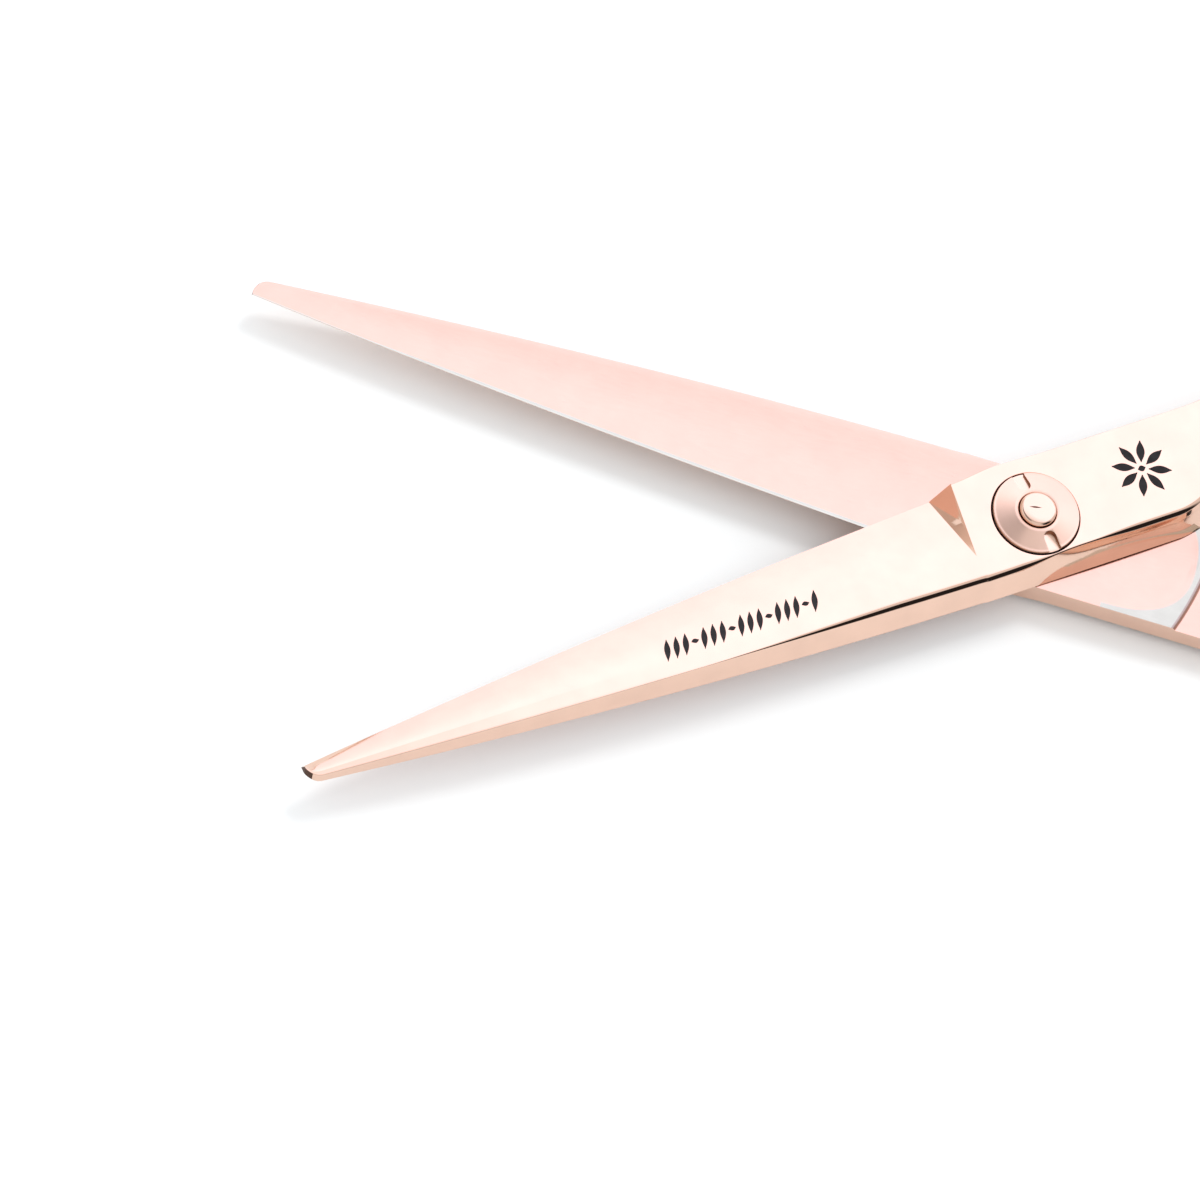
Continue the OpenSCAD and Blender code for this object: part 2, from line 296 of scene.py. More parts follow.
def ride_at(x, w):
    """Width of the ride line where the blade is w wide."""
    return min(mix(0.1, RIDE_W, smooth(-66, -52, x)) + 0.15 * smooth(0, 8, x), w / 5)


def grind_z(f, t):
    """Height of the convex grind: t where f is 0, the land at the cutting edge where f is 1."""
    return mix(LAND, t, 1 - f ** GRIND_POWER)


def blade_section(x):
    """Section of the ground blade at x, from the cutting edge over the outer face and the spine."""
    ye, ys, t = edge_y(x), spine_y(x), blade_thick(x)
    w = ye - ys
    bevel = min(bevel_w(x), 0.45 * w)
    ridge = ys + bevel
    y0 = mix(ridge, ye, 0.24)
    back, arc = ridge_arc(ridge, t, bevel, t, min(ridge_radius(x), 0.7 * bevel))
    pts = [(mix(y0, ye, f), grind_z(f, t)) for f in ARC_F]
    pts += [(mix(y0, ridge + back, i / FLAT_N), t) for i in range(1, FLAT_N)]
    pts += arc
    pts += [(mix(ys, ridge, 0.72), 0.72 * t), (mix(ys, ridge, 0.571), 0.571 * t)]
    pts += [(mix(ys, ridge, 0.05), 0.05 * t)]
    pts += inner_points(x, ys, ye, 0.0, ride_at(x, w))
    return [Vector((x, y, z + GAP)) for y, z in pts]


def shank_section(x):
    """Section of the flat shank at x, with the same number of points as the blade's."""
    ye, ys, t = wall_y(x), lo_y(x), BLADE_T
    bevel = shank_bevel(x)
    ridge = ys + bevel
    foot = ridge - mix(0.363, FACET_RUN, smooth(-5, 4, x))
    back, arc = ridge_arc(ridge, t, ridge - foot, t - FACET_Z, ridge_radius(x))
    chamfer = mix(0.1, 0.3, smooth(-1, 4, x))
    top_y = ye - chamfer
    pts = [(ye, t - 2 * chamfer)]
    last = ARC_N + FLAT_N - 1
    pts += [(mix(top_y, ridge + back, (i - 1) / (last - 1)), t) for i in range(1, last)]
    pts += arc
    edge_z = arc[-1][1]
    pts += [(mix(arc[-1][0], foot, 0.5), mix(edge_z, FACET_Z, 0.5)), (foot, FACET_Z)]
    z0 = float(RELIEF * smooth(RELIEF_X, RELIEF_X + 0.35, x))
    pts += [(mix(ys, foot, 0.05), mix(z0, FACET_Z, 0.05))]
    pts += inner_points(x, ys, ye, z0, 0.5 * clamp01(x / 8) + RIDE_W * clamp01(1 - x / 8))
    shifts = inner_shift(x)
    return [Vector((x + (shifts(y) if i > CREASE_COL else 0.0), y, z + GAP))
            for i, (y, z) in enumerate(pts)]


def inner_shift(x):
    """Slants the stations near the shoulder, which runs askew across the inner face."""
    part = float(smooth(11.5, 16.3, x) * (1 - smooth(17.2, 21.8, x)))
    return lambda y: -part * (SHOULDER_SLANT * y + SHOULDER_BOW * y * y)


def on_line(points, y):
    """Point at height y along a chain of points that falls in y."""
    for p, q in zip(points, points[1:]):
        if y >= q.y:
            return p.lerp(q, clamp01((p.y - y) / (p.y - q.y)))
    return points[-1].copy()


def notch_rows():
    """The stations across the heel's notch: foot of the wall, its lower crease, its upper crease, top."""
    base = blade_section(HEEL_X)
    crest = shank_section(NOTCH_B.x)
    lift = Vector((0, 0, GAP))
    lines = [
        [NOTCH_A, NOTCH_C],
        [NOTCH_A, NOTCH_D, NOTCH_C],
        [NOTCH_B, NOTCH_D, NOTCH_C],
        [NOTCH_B, NOTCH_C]]
    rows = []
    for k, line in enumerate(lines):
        row = []
        for i, (p, q) in enumerate(zip(base, crest)):
            if i < ARC_N:
                f = ARC_F[i]
                y = mix(NOTCH_C.y, NOTCH_A.y, f)
                c = on_line(line, y) + lift
                if k == 0:
                    c.z = p.z
                    c.x = NOTCH_A.x - NOTCH_LEAN[0] * (y - NOTCH_A.y)
                    c.x -= NOTCH_LEAN[1] * (c.z - GAP - NOTCH_A.z)
                if i == 0 and k == 3:
                    c = q.copy()
                row.append(Vector((c.x, y, min(c.z, OUTER_Z))))
            else:
                w = (k + 1) / 4
                x = mix(NOTCH_C.x - 0.3, NOTCH_C.x + 0.2, w)
                y = p.y if i < ARC_N + FLAT_N - 1 else mix(p.y, q.y, w)
                row.append(Vector((x, y, mix(p.z, q.z, w))))
        rows.append(row)
    return rows


def half_rows():
    """Sections of a whole half from the tip to the weld, closer together where the shape turns."""
    tip = [-TIP_LEN + d for d in (0, 0.03, 0.08, 0.15, 0.25, 0.4, 0.6, 0.85, 1.15, 1.6)]
    blade = list(np.arange(-71.0, -8.6, 0.65)) + [-8.3, HEEL_X - 0.02]
    stretches = ((-5.6, 11.5, 0.5), (11.7, 16.5, 0.3), (16.55, 17.1, 0.07), (17.3, 21.9, 0.4))
    shank = [x for lo, hi, step in stretches for x in np.arange(lo, hi, step)] + [22.4, 23.2]
    return ([blade_section(x) for x in tip + blade] + notch_rows()
            + [shank_section(float(x)) for x in shank + [WELD_X]])


# ---------------------------------------------------------------- meshes

def half_matrix(thumb):
    """From a half's own frame, in millimetres, to the model's frame."""
    side = -1 if thumb else 1
    m = Matrix.Translation((0, 0, SHEAR_Z)) @ Matrix.Rotation(math.radians(side * OPEN_ANGLE / 2), 4, "Z")
    if thumb:
        m = m @ Matrix.Rotation(math.pi, 4, "X")
    return Matrix.Scale(MM, 4) @ m


def add_object(name, mesh, materials=()):
    obj = bpy.data.objects.new(name, mesh)
    bpy.context.scene.collection.objects.link(obj)
    for m in materials:
        mesh.materials.append(m)
    return obj


def mesh_from(name, verts, faces, matrix, materials=(), sharp=35.0):
    """Closed mesh with outward faces, shaded smooth below the sharp angle."""
    mesh = bpy.data.meshes.new(name)
    mesh.from_pydata([matrix @ Vector(v) for v in verts], [], faces)
    bm = bmesh.new()
    bm.from_mesh(mesh)
    bmesh.ops.remove_doubles(bm, verts=bm.verts, dist=2e-7)
    bmesh.ops.recalc_face_normals(bm, faces=bm.faces)
    bm.to_mesh(mesh)
    bm.free()
    shade(mesh, sharp)
    return add_object(name, mesh, materials)


def shade(mesh, sharp):
    mesh.shade_smooth()
    mesh.set_sharp_from_angle(angle=math.radians(sharp))


def loft_faces(n, m):
    """Side faces of m rings of n points each, with the two end caps."""
    faces = [(i * n + j, i * n + (j + 1) % n, (i + 1) * n + (j + 1) % n, (i + 1) * n + j)
             for i in range(m - 1) for j in range(n)]
    return faces + [tuple(reversed(range(n))), tuple(range((m - 1) * n, m * n))]


def lathe(name, profile, matrix, materials=(), segments=128, sharp=30.0):
    """Solid of revolution about Z. The profile runs (radius, height); its ends may lie on the axis."""
    on_axis = [i for i, (r, z) in enumerate(profile) if r == 0]
    verts = []
    index = {}
    for i, (r, z) in enumerate(profile):
        if i in on_axis:
            index[i] = [len(verts)] * segments
            verts.append((0, 0, z))
        else:
            index[i] = list(range(len(verts), len(verts) + segments))
            for k in range(segments):
                a = 2 * math.pi * k / segments
                verts.append((r * math.cos(a), r * math.sin(a), z))
    closed = not on_axis
    count = len(profile)
    faces = []
    for i in range(count if closed else count - 1):
        p, q = index[i], index[(i + 1) % count]
        for k in range(segments):
            k2 = (k + 1) % segments
            ids = []
            for v in (p[k], p[k2], q[k2], q[k]):
                if v not in ids:
                    ids.append(v)
            if len(ids) > 2:
                faces.append(tuple(ids))
    return mesh_from(name, verts, faces, matrix, materials, sharp)


def prism(name, outline, z_lo, z_hi, matrix):
    """Outline extruded between two heights."""
    n = len(outline)
    verts = [(x, y, z_lo) for x, y in outline] + [(x, y, z_hi) for x, y in outline]
    return mesh_from(name, verts, loft_faces(n, 2), matrix)


def cut(obj, *cutters):
    """Takes the cutters away from obj."""
    for c in cutters:
        mod = obj.modifiers.new("cut", "BOOLEAN")
        mod.operation = "DIFFERENCE"
        mod.solver = "EXACT"
        mod.object = c
    bake(obj)
    for c in cutters:
        bpy.data.objects.remove(c)


def bake(obj):
    """Turns the object's modifiers into its mesh."""
    mesh = bpy.data.meshes.new_from_object(obj.evaluated_get(bpy.context.evaluated_depsgraph_get()))
    obj.modifiers.clear()
    old = obj.data
    obj.data = mesh
    bpy.data.meshes.remove(old)
    mesh.name = obj.name


def bevel(obj, width, angle=30.0, segments=2):
    """Rounds the object's sharp edges."""
    mod = obj.modifiers.new("bevel", "BEVEL")
    mod.width = width * MM
    mod.segments = segments
    mod.limit_method = "ANGLE"
    mod.angle_limit = math.radians(angle)
    bake(obj)
    shade(obj.data, angle)


def paint(obj, matrix, test, index):
    """Gives material index to the faces whose middle passes the test, in the matrix's own millimetres."""
    back = matrix.inverted()
    for f in obj.data.polygons:
        if test(back @ f.center):
            f.material_index = index


def rounded(corners, radius, steps=4):
    """Profile with its corners rounded, each by up to radius."""
    out = [corners[0]]
    for i in range(1, len(corners) - 1):
        p, c, q = (Vector(corners[k]) for k in (i - 1, i, i + 1))
        r = min(radius, 0.45 * (p - c).length, 0.45 * (q - c).length)
        a, b = c + (p - c).normalized() * r, c + (q - c).normalized() * r
        for k in range(steps + 1):
            t = k / steps
            out.append(tuple(a * (1 - t) ** 2 + c * 2 * t * (1 - t) + b * t * t))
    return out + [corners[-1]]


# ---------------------------------------------------------------- materials

def new_material(name):
    mat = bpy.data.materials.new(name)
    mat.use_nodes = True
    tree = mat.node_tree
    shader = tree.nodes["Principled BSDF"]
    return mat, tree, shader


def node(tree, kind, links=(), **values):
    """Adds a node, sets its properties and input values, and links (socket, input) pairs."""
    n = tree.nodes.new(kind)
    for key, value in values.items():
        if hasattr(n, key):
            setattr(n, key, value)
        else:
            n.inputs[key.replace("_", " ")].default_value = value
    for source, target in links:
        tree.links.new(source, n.inputs[target])
    return n


def math_node(tree, op, a, b=None, c=None):
    """Adds a math node; each operand is a number or a socket."""
    n = tree.nodes.new("ShaderNodeMath")
    n.operation = op
    for i, v in enumerate((a, b, c)):
        if v is None:
            continue
        if isinstance(v, (int, float)):
            n.inputs[i].default_value = v
        else:
            tree.links.new(v, n.inputs[i])
    return n.outputs[0]


def half_coordinates(tree, thumb):
    """Object coordinates turned into the half's frame, in millimetres."""
    coord = node(tree, "ShaderNodeTexCoord")
    turn = math.radians(OPEN_ANGLE / 2) * (1 if thumb else -1)
    mapping = node(tree, "ShaderNodeMapping", [(coord.outputs["Object"], "Vector")], vector_type="POINT")
    mapping.inputs["Rotation"].default_value = (0, 0, turn)
    mapping.inputs["Scale"].default_value = (1 / MM,) * 3
    return mapping.outputs["Vector"]


def map_range(tree, value, from_min, from_max, to_min, to_max, shape="LINEAR"):
    """Maps value from one range to another and keeps it inside the second."""
    n = node(tree, "ShaderNodeMapRange", [(value, "Value")], interpolation_type=shape)
    limits = {"From Min": from_min, "From Max": from_max, "To Min": to_min, "To Max": to_max}
    for key, number in limits.items():
        n.inputs[key].default_value = number
    return n.outputs["Result"]


def ramp(tree, fac, stops):
    n = tree.nodes.new("ShaderNodeValToRGB")
    tree.links.new(fac, n.inputs["Fac"])
    elements = n.color_ramp.elements
    while len(elements) < len(stops):
        elements.new(0.5)
    for e, (pos, colour) in zip(elements, stops):
        e.position = pos
        e.color = (*colour, 1)
    return n.outputs["Color"]


def noise(tree, vector, scale, detail=2.0, stretch=None):
    if stretch:
        m = node(tree, "ShaderNodeMapping", [(vector, "Vector")])
        m.inputs["Scale"].default_value = stretch
        vector = m.outputs["Vector"]
    n = node(tree, "ShaderNodeTexNoise", [(vector, "Vector")])
    n.inputs["Scale"].default_value = scale
    n.inputs["Detail"].default_value = detail
    return n.outputs["Fac"]


def finish_surface(tree, shader, vector, rough, grain, bump):
    """Fine polishing marks that vary the roughness and the relief."""
    marks = noise(tree, vector, 1.0, 4.0, grain)
    roughness = map_range(tree, marks, 0.0, 1.0, rough * 0.75, rough * 1.3)
    tree.links.new(roughness, shader.inputs["Roughness"])
    relief = node(tree, "ShaderNodeBump", [(marks, "Height")])
    relief.inputs["Strength"].default_value = bump
    relief.inputs["Distance"].default_value = 0.02 * MM
    tree.links.new(relief.outputs["Normal"], shader.inputs["Normal"])
    return roughness


def drift_tint(tree, vector, colour, vary, cloud):
    """Colour that drifts by vary either way over clouds of the given scale."""
    dark = tuple(c * (1 - vary) for c in colour)
    light = tuple(min(1.0, c * (1 + vary)) for c in colour)
    return ramp(tree, noise(tree, vector, cloud, 3.0), [(0.3, dark), (0.7, light)])


def blend_colour(tree, fac, a, b):
    n = node(tree, "ShaderNodeMix", data_type="RGBA")
    tree.links.new(fac, n.inputs[0])
    tree.links.new(a, n.inputs[6])
    tree.links.new(b, n.inputs[7])
    return n.outputs[2]


def metal(name, colour, rough, vary=0.03, grain=(6.0, 6.0, 6.0), bump=0.02, thumb=False, cloud=0.35):
    """Metal whose colour and roughness drift slightly, with fine polishing marks."""
    mat, tree, shader = new_material(name)
    vector = half_coordinates(tree, thumb)
    tree.links.new(drift_tint(tree, vector, colour, vary, cloud), shader.inputs["Base Color"])
    shader.inputs["Metallic"].default_value = 1.0
    finish_surface(tree, shader, vector, rough, grain, bump)
    return mat


def matt(name, colour, rough, vary, grain, bump):
    """Rubber or polymer with a slightly uneven colour and a fine grain."""
    mat, tree, shader = new_material(name)
    vector = half_coordinates(tree, False)
    tree.links.new(drift_tint(tree, vector, colour, vary, 0.8), shader.inputs["Base Color"])
    finish_surface(tree, shader, vector, rough, grain, bump)
    return mat


def inner_face(name, thumb):
    """Coated hollow with a rounded end near the pivot, bare ground steel around that end, a fine dark line
    of painted shade along the shoulder's step, and past it the coat again, which turns to polish towards
    the weld."""
    mat, tree, shader = new_material(name)
    vector = half_coordinates(tree, thumb)
    if thumb:
        turned_over = node(tree, "ShaderNodeMapping", [(vector, "Vector")])
        turned_over.inputs["Scale"].default_value = (1, -1, -1)
        vector = turned_over.outputs["Vector"]
    x, y, _ = node(tree, "ShaderNodeSeparateXYZ", [(vector, "Vector")]).outputs
    moon_x = math_node(tree, "MULTIPLY_ADD", x, 1 / MOON_LEN, -MOON_X / MOON_LEN)
    moon_y = math_node(tree, "MULTIPLY_ADD", y, 1 / MOON_HALF, -MOON_Y / MOON_HALF)
    qx = math_node(tree, "POWER", math_node(tree, "MAXIMUM", moon_x, 0.0), MOON_POWER)
    qy = math_node(tree, "POWER", math_node(tree, "ABSOLUTE", moon_y), MOON_POWER)
    behind = math_node(tree, "GREATER_THAN", x, MOON_X)
    q = math_node(tree, "MULTIPLY", math_node(tree, "ADD", qx, qy), behind)
    past_hollow = map_range(tree, q, 0.97, 1.03, 0.0, 1.0)
    shoulder = math_node(tree, "MULTIPLY_ADD", math_node(tree, "MULTIPLY", y, y), SHOULDER_BOW,
                         math_node(tree, "MULTIPLY_ADD", y, SHOULDER_SLANT, x))
    before_shoulder = map_range(tree, shoulder, RELIEF_X - 0.05, RELIEF_X + 0.1, 1.0, 0.0)
    bare = math_node(tree, "MULTIPLY", past_hollow, before_shoulder)
    coat = drift_tint(tree, vector, COAT, 0.02, 0.35)
    steel = drift_tint(tree, vector, GROUND, 0.03, 0.6)
    tint = blend_colour(tree, bare, coat, steel)
    # Painted shade: a fine dark line along the shoulder's step
    line = ramp(tree, math_node(tree, "MULTIPLY_ADD", shoulder, 0.5, -7.8),
                [(0.40, (0, 0, 0)), (0.45, (0.75,) * 3), (0.60, (0.75,) * 3), (0.66, (0, 0, 0))])
    shoulder_shade = drift_tint(tree, vector, (0.32, 0.22, 0.20), 0.1, 1.0)
    tint = blend_colour(tree, line, tint, shoulder_shade)
    polish = map_range(tree, x, 17.5, WELD_X - 0.3, 0.0, 1.0, "SMOOTHSTEP")
    tint = blend_colour(tree, polish, tint, drift_tint(tree, vector, ROSE, 0.03, 0.35))
    tree.links.new(tint, shader.inputs["Base Color"])
    shader.inputs["Metallic"].default_value = 1.0
    marks = finish_surface(tree, shader, vector, 0.24, (0.8, 9.0, 9.0), 0.04)
    smoothed = math_node(tree, "MULTIPLY", marks, math_node(tree, "MULTIPLY_ADD", polish, -0.7, 1.0))
    tree.links.new(smoothed, shader.inputs["Roughness"])
    return mat


def spun_metal(name, colour, rough):
    """Face-turned metal whose reflection is drawn out from the middle."""
    mat, tree, shader = new_material(name)
    coord = node(tree, "ShaderNodeTexCoord")
    x, y, _ = node(tree, "ShaderNodeSeparateXYZ", [(coord.outputs["Object"], "Vector")]).outputs
    radius = math_node(tree, "SQRT", math_node(tree, "ADD", math_node(tree, "MULTIPLY", x, x),
                                               math_node(tree, "MULTIPLY", y, y)))
    rings = node(tree, "ShaderNodeCombineXYZ")
    tree.links.new(math_node(tree, "MULTIPLY", radius, 14 / MM), rings.inputs[0])
    vector = half_coordinates(tree, False)
    tree.links.new(drift_tint(tree, vector, colour, 0.02, 0.5), shader.inputs["Base Color"])
    shader.inputs["Metallic"].default_value = 1.0
    shader.inputs["Anisotropic"].default_value = 0.85
    shader.inputs["Anisotropic Rotation"].default_value = 0.25
    tangent = node(tree, "ShaderNodeTangent", direction_type="RADIAL", axis="Z")
    tree.links.new(tangent.outputs["Tangent"], shader.inputs["Tangent"])
    grooves = noise(tree, rings.outputs[0], 1.0, 2.0)
    tree.links.new(map_range(tree, grooves, 0.0, 1.0, rough * 0.8, rough * 1.25), shader.inputs["Roughness"])
    relief = node(tree, "ShaderNodeBump", [(grooves, "Height")])
    relief.inputs["Strength"].default_value = 0.08
    relief.inputs["Distance"].default_value = 0.01 * MM
    tree.links.new(relief.outputs["Normal"], shader.inputs["Normal"])
    return mat


# Rose gold where it is polished and as the coat of the inner face; steel where it is turned and ground
ROSE = (0.80, 0.545, 0.43)
COAT = (0.755, 0.475, 0.385)
STEEL = (0.62, 0.62, 0.61)
GROUND = (0.50, 0.495, 0.43)

# One of each for each half, by whether it is the thumb's
polished, inner, lapped = {}, {}, {}
for is_thumb, half in ((False, "finger"), (True, "thumb")):
    polished[is_thumb] = metal("rose_gold_polished_" + half, ROSE, 0.07, thumb=is_thumb)
    inner[is_thumb] = inner_face("inner_face_" + half, is_thumb)
    lapped[is_thumb] = metal("lapped_steel_" + half, GROUND, 0.16, grain=(1.0, 20.0, 20.0), bump=0.04,
                             thumb=is_thumb)
turned = metal("turned_steel", STEEL, 0.22, grain=(9.0, 9.0, 3.0))
spun = spun_metal("rose_gold_spun", ROSE, 0.3)
pin_gold = metal("rose_gold_pin", ROSE, 0.14)
# Painted shade: a dark for the gaps and recesses round the nut and the tip's end face; it also draws the stud's
# tick mark
painted_shade_and_mark = metal("painted_shade_and_tick_mark", (0.09, 0.045, 0.03), 0.5)
# Painted shade: dark brown for the walls of the nut's key slots
slot_painted_shade = metal("rose_gold_slot_painted_shade", (0.26, 0.13, 0.08), 0.35)
dark_mark = metal("etched_mark", (0.030, 0.028, 0.027), 0.45, vary=0.2, cloud=1.5)
bronze = metal("bearing_bronze", (0.62, 0.42, 0.22), 0.35, vary=0.08, cloud=1.2)
polymer = matt("slip_polymer", (0.80, 0.78, 0.72), 0.5, 0.04, (5.0, 5.0, 5.0), 0.06)
rubber = matt("soft_rubber", (0.022, 0.020, 0.020), 0.5, 0.25, (4.0, 4.0, 4.0), 0.25)


# ---------------------------------------------------------------- blades

def blade(name, thumb):
    """A half's blade and flat shank: polished outside, coated inside, lapped on the ride line, with its tip's end
    face painted dark as shade."""
    rows = half_rows()
    verts = [p for r in rows for p in r]
    faces = loft_faces(len(rows[0]), len(rows))
    materials = [polished[thumb], inner[thumb], lapped[thumb], painted_shade_and_mark]
    obj = mesh_from(name, verts, faces, half_matrix(thumb), materials, BLADE_SHARP)
    back = half_matrix(thumb).inverted()
    turned_back = half_matrix(thumb).to_3x3().normalized().inverted()
    for f in obj.data.polygons:
        c = back @ f.center
        normal = turned_back @ f.normal
        # Painted shade: the tip's end face is painted dark
        if c.x < -TIP_LEN + 0.5 and normal.x < -0.5:
            f.material_index = 3
        elif c.z <= 0.5 and c.x <= WELD_X - 0.01 and normal.z <= -0.2:
            side = edge_y(c.x) if c.x < HEEL_X else wall_y(c.x)
            on_ride = c.x < HEEL_X + 1 and c.y > side - ride_at(c.x, 9) * 0.98
            f.material_index = 2 if on_ride else 1
    return obj


def clipped_circle(r, half_flat, points):
    """Circle of radius r cut off by two flats, half_flat from the middle."""
    angles = [2 * math.pi * k / points for k in range(points)]
    return [(r * math.cos(a), max(-half_flat, min(half_flat, r * math.sin(a)))) for a in angles]


BLADE_SHARP = 9.0

upper = blade("upper_blade_ground", False)
seat = lathe("seat_cut", [(0, -1), (SPOT_R, -1), (SPOT_R, SPOT_Z), (BUSH_R, SPOT_Z), (BUSH_R, CUP_FLOOR),
                          (CUP_R, CUP_FLOOR), (CUP_R, 2.15), (SEAT_R - 0.01, 2.2), (SEAT_R, 2.25),
                          (SEAT_R, OUTER_Z - 0.05), (SEAT_R + 0.06, OUTER_Z + 0.03), (SEAT_R + 0.06, 4),
                          (0, 4)],
             half_matrix(False))
cut(upper, seat)
# Painted shade: the recess walls and floor round the nut's rim are painted dark, as the shadow in the gap there
paint(upper, half_matrix(False),
      lambda c: CUP_R - 0.1 < math.hypot(c.x, c.y) < SEAT_R + 0.005 and 1.6 < c.z < 2.82, 3)
shade(upper.data, BLADE_SHARP)
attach(upper, "finger_half")
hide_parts("upper_blade")

lower = blade("lower_blade_ground", True)
flats = clipped_circle(FLATS_R + 0.05, FLATS_HALF + 0.05, 48)
cut(lower,
    lathe("washer_cut", [(0, -1), (SPOT_R, -1), (SPOT_R, SPOT_Z), (0, SPOT_Z)], half_matrix(True)),
    prism("flats_cut", flats, -2, 5, half_matrix(True)),
    lathe("head_cut", [(0, OUTER_Z - HEAD_SINK), (HEAD_R + 0.05, OUTER_Z - HEAD_SINK),
                       (HEAD_R + 0.05, OUTER_Z - 0.04), (HEAD_R + 0.12, OUTER_Z + 0.04), (HEAD_R + 0.12, 4),
                       (0, 4)], half_matrix(True)))
shade(lower.data, BLADE_SHARP)
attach(lower, "thumb_half")
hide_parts("lower_blade")


# ---------------------------------------------------------------- pivot

PIVOT = Matrix.Scale(MM, 4) @ Matrix.Translation((0, 0, SHEAR_Z))


def make_nut():
    """Spun nut with a shallow cone, and two key slots cut in from its rim; the slots' walls and the bore round the
    stud's end are painted dark as shade.
    """
    profile = rounded([(THREAD_R + 0.07, NUT_HUB), (WASHER_R, NUT_HUB), (WASHER_R, NUT_UNDER),
                       (NUT_R, NUT_UNDER), (NUT_R, NUT_RIM), (NUT_R - 0.22, NUT_RIM + 0.01),
                       (2.12, NUT_CROWN), (THREAD_R + 0.14, NUT_CROWN + 0.005),
                       (THREAD_R + 0.08, NUT_CROWN - 0.1), (THREAD_R + 0.07, NUT_HUB)], 0.06)
    nut = lathe("tension_nut_spun", profile[:-1], PIVOT, [spun, slot_painted_shade, painted_shade_and_mark, pin_gold], 160)
    cutters = []
    for side in (0, 180):
        outline = [(SLOT_W / 2 * (1 - math.sin(a)), -SLOT_W / 2 * math.cos(a))
                   for a in (math.radians(7.5 * k) for k in range(25))]
        outline = [(6, -SLOT_W / 2)] + outline + [(6, SLOT_W / 2)]
        turn = Matrix.Rotation(math.radians(OPEN_ANGLE / 2 + 90 + side), 4, "Z")
        at_slot = PIVOT @ turn @ Matrix.Translation((SLOT_IN, 0, 0))
        cutters.append(prism("slot_cut", outline, SLOT_FLOOR, 5, at_slot))
    cut(nut, *cutters)
    bevel(nut, 0.045, 40)
    # Painted shade: dark bore round the stud's end and dark slot walls; the slot floors take the smoother pin gold
    for f in nut.data.polygons:
        c = PIVOT.inverted() @ f.center
        r = math.hypot(c.x, c.y)
        if r < THREAD_R + 0.1:
            f.material_index = 2
        elif r > SLOT_IN - 0.05 and abs(c.z - SLOT_FLOOR) < 0.02 and f.normal.z > 0.95:
            f.material_index = 3
        elif SLOT_IN - 0.05 < r < NUT_R - 0.05 and c.z > SLOT_FLOOR and f.normal.z < 0.8:
            f.material_index = 1
    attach(nut, "tension_nut")
    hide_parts("tension_nut")


def make_stud():
    """Turned stud with its head below and its end in the nut's middle, and the part with two flats."""
    head_top = -OUTER_Z + HEAD_SINK
    profile = [(0, -SHEAR_Z + 0.02), (HEAD_R - 0.5, -SHEAR_Z), (HEAD_R, -SHEAR_Z + 0.35), (HEAD_R, head_top),
               (JOURNAL_R, head_top), (JOURNAL_R, CUP_FLOOR), (THREAD_R, CUP_FLOOR),
               (THREAD_R, STUD_TOP - 0.22), (THREAD_R - 0.2, STUD_TOP - 0.06),
               (THREAD_R - 0.7, STUD_TOP - 0.03), (0, STUD_TOP - 0.025)]
    pin = lathe("pivot_stud_turned", rounded(profile, 0.1), PIVOT, [pin_gold], 96)
    turn = Matrix.Rotation(math.radians(-OPEN_ANGLE / 2), 4, "Z")
    outline = clipped_circle(FLATS_R, FLATS_HALF, 72)
    bar = prism("pivot_stud_flats", outline, head_top - 0.05, -SPOT_Z, PIVOT @ turn)
    bar.data.materials.append(turned)
    for piece in (pin, bar):
        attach(piece, "thumb_half")
        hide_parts("pivot_stud")


make_nut()
make_stud()


# ---------------------------------------------------------------- handles

def smooth_min(a, b, k):
    """The smaller of two fields, blended over k where they are close."""
    h = np.maximum(k - np.abs(a - b), 0) / k
    return np.minimum(a, b) - h * h * k / 4


def smooth_max(a, b, k):
    return -smooth_min(-a, -b, k)


def shank_middle(x, ring_x):
    s = smooth(ring_x - JOIN_START, ring_x - JOIN_END, x)
    return mix((lo_y(x) + hi_y(x)) / 2, FINGER_RING_Y - RING_SEAT_R - RING_WALL / 2, s)


def shank_half_w(x, ring_x):
    return mix((hi_y(x) - lo_y(x)) / 2, 1.2, smooth(ring_x - JOIN_START, ring_x - JOIN_END, x))


